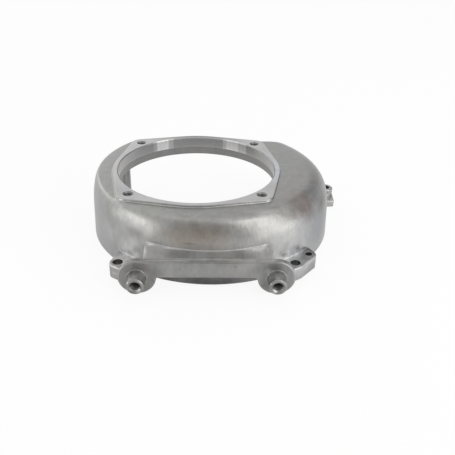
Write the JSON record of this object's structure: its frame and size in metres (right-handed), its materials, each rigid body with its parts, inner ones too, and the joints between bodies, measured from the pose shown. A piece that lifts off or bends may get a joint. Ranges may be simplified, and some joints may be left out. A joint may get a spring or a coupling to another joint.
{
  "type": "flywheel cover",
  "caption": "Cast aluminium flywheel and fan cover for a small engine: an off-centre dome open below and behind, a machined starter face round its bore, lugs and a front bridge with spouts.",
  "frame": {"origin": "centre of the starter bore, in the plane of the machined starter face", "axes": "+Z out of the starter face along the bore axis, -Y towards the side with the bridge and its two spouts, +X towards the side with the foot and pillar"},
  "size_m": [0.1787, 0.1511, 0.0487],
  "materials": {
    "cast_aluminium": "bare die casting, machined on the starter face"
  },
  "bodies": {
    "root": {"cover_casting": "cast_aluminium"}
  },
  "joints": []
}
